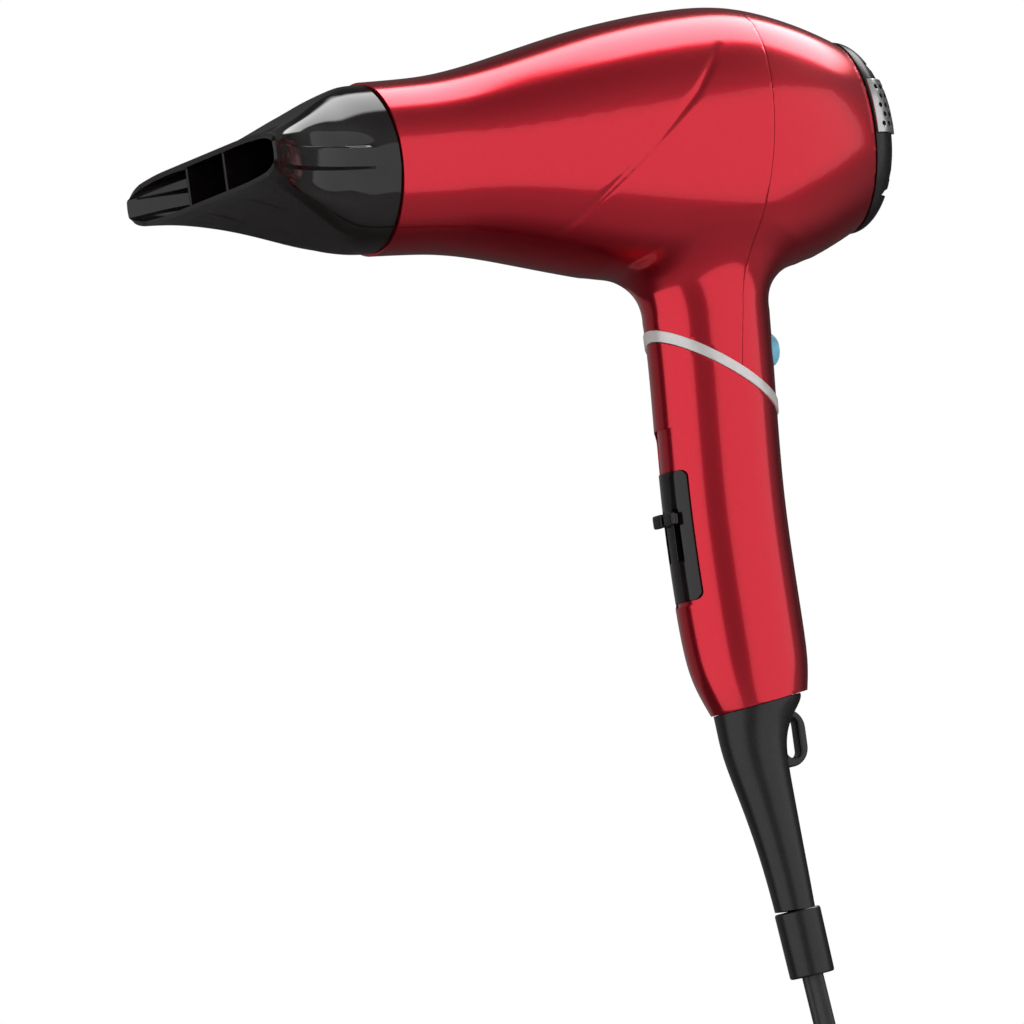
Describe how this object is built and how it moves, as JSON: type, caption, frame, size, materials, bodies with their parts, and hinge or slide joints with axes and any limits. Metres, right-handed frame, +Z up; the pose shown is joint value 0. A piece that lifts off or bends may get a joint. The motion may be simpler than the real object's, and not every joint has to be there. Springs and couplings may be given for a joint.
{
  "type": "hair dryer",
  "caption": "Hand-held hair dryer with a flat air concentrator, curved grip, slide switches, cool-shot button, cord boot with hang loop and folded mains lead with plug.",
  "frame": {"origin": "middle of the hand grip, on the handle's own centre line", "axes": "+Z up the handle to the barrel, -X the way the air leaves, Y across the case"},
  "size_m": [0.2283, 0.1032, 0.591],
  "materials": {
    "red_lacquer": "candy-red metallic lacquer under a clear gloss coat",
    "silver_band": "satin silver",
    "black_gloss": "polished black",
    "black_satin": "satin black",
    "silver_insert": "bright perforated silver",
    "screen": "fine dark mesh",
    "sky_blue": "sky blue, semi-gloss",
    "mica": "pale laminated mica",
    "heater_wire": "oxidised resistance wire",
    "bright_steel": "plated steel",
    "bronze": "sintered bronze",
    "ferrite": "ground ferrite",
    "carbon": "carbon",
    "grey_plastic": "moulded grey",
    "gasket": "soft rubber",
    "sensor": "bimetal switch",
    "fuse": "axial thermal cut-off",
    "board": "printed circuit board",
    "switch_body": "switch moulding",
    "wire_skin": "silicone-sleeved wire",
    "lead_skin": "black flexible sheath",
    "tie": "soft black tie",
    "plug_case": "black moulded case",
    "blade_brass": "nickelled brass",
    "test_cap": "black push button",
    "reset_cap": "red push button",
    "coil_core": "wound ring core"
  },
  "bodies": {
    "case": {"front_shell": "red_lacquer", "rear_shell": "red_lacquer", "grip_sleeve": "red_lacquer", "trim_band": "silver_band", "switch_plate": "black_gloss", "outlet_grille": "black_satin", "cord_boot": "black_satin", "cord_collar": "black_satin", "cord_clamp": "black_satin", "motor_end_cap": "black_satin", "motor_mount": "black_satin", "mica_board_upright": "mica", "mica_board_level": "mica", "heating_coils": "heater_wire", "heat_shield": "bright_steel", "motor_can": "bright_steel", "motor_screws": "bright_steel", "clamp_screws": "bright_steel", "shaft_bush_front": "bronze", "shaft_bush_rear": "bronze", "motor_magnets": "ferrite", "motor_brushes": "carbon", "duct_gasket": "gasket", "thermostat": "sensor", "thermal_fuse": "fuse", "rectifier_board": "board", "trip_board": "board", "speed_switch": "switch_body", "heat_switch": "switch_body", "cool_switch": "switch_body", "power_leads": "wire_skin", "heater_leads": "wire_skin", "lead_run": "lead_skin", "lead_hank": "lead_skin", "lead_tail": "lead_skin", "plug_gland": "lead_skin", "hank_tie": "tie", "plug_base": "plug_case", "plug_cover": "plug_case", "plug_blades": "blade_brass", "sensing_coil": "coil_core"},
    "nozzle": {"concentrator": "black_gloss"},
    "inlet": {"inlet_cap": "black_satin", "inlet_insert": "silver_insert", "lint_screen": "screen"},
    "rotor": {"armature": "bright_steel", "fan_impeller": "grey_plastic"},
    "speed_slider": {"speed_knob": "black_gloss"},
    "heat_slider": {"heat_knob": "black_gloss"},
    "cool_push": {"cool_button": "sky_blue"},
    "test_push": {"test_button": "test_cap"},
    "reset_push": {"reset_button": "reset_cap"}
  },
  "joints": [
    {"name": "nozzle_turn", "type": "hinge", "parent": "case", "child": "nozzle", "pos_m": [-0.12, 0, 0.107], "axis": [1, 0, 0], "continuous": true},
    {"name": "inlet_pull", "type": "slide", "parent": "case", "child": "inlet", "axis": [1, 0, 0], "range_m": [0, 0.03]},
    {"name": "fan_spin", "type": "hinge", "parent": "case", "child": "rotor", "pos_m": [0, 0, 0.107], "axis": [1, 0, 0], "continuous": true},
    {"name": "speed_slide", "type": "slide", "parent": "case", "child": "speed_slider", "axis": [0, 0, 1], "range_m": [-0.01, 0]},
    {"name": "heat_slide", "type": "slide", "parent": "case", "child": "heat_slider", "axis": [0, 0, 1], "range_m": [-0.01, 0]},
    {"name": "cool_press", "type": "slide", "parent": "case", "child": "cool_push", "axis": [-1, 0, 0], "range_m": [0, 0.002], "stiffness_N_per_m": 800},
    {"name": "test_press", "type": "slide", "parent": "case", "child": "test_push", "axis": [-1, 0, 0], "range_m": [0, 0.0012], "stiffness_N_per_m": 1000},
    {"name": "reset_press", "type": "slide", "parent": "case", "child": "reset_push", "axis": [-1, 0, 0], "range_m": [0, 0.0012], "stiffness_N_per_m": 1000}
  ]
}
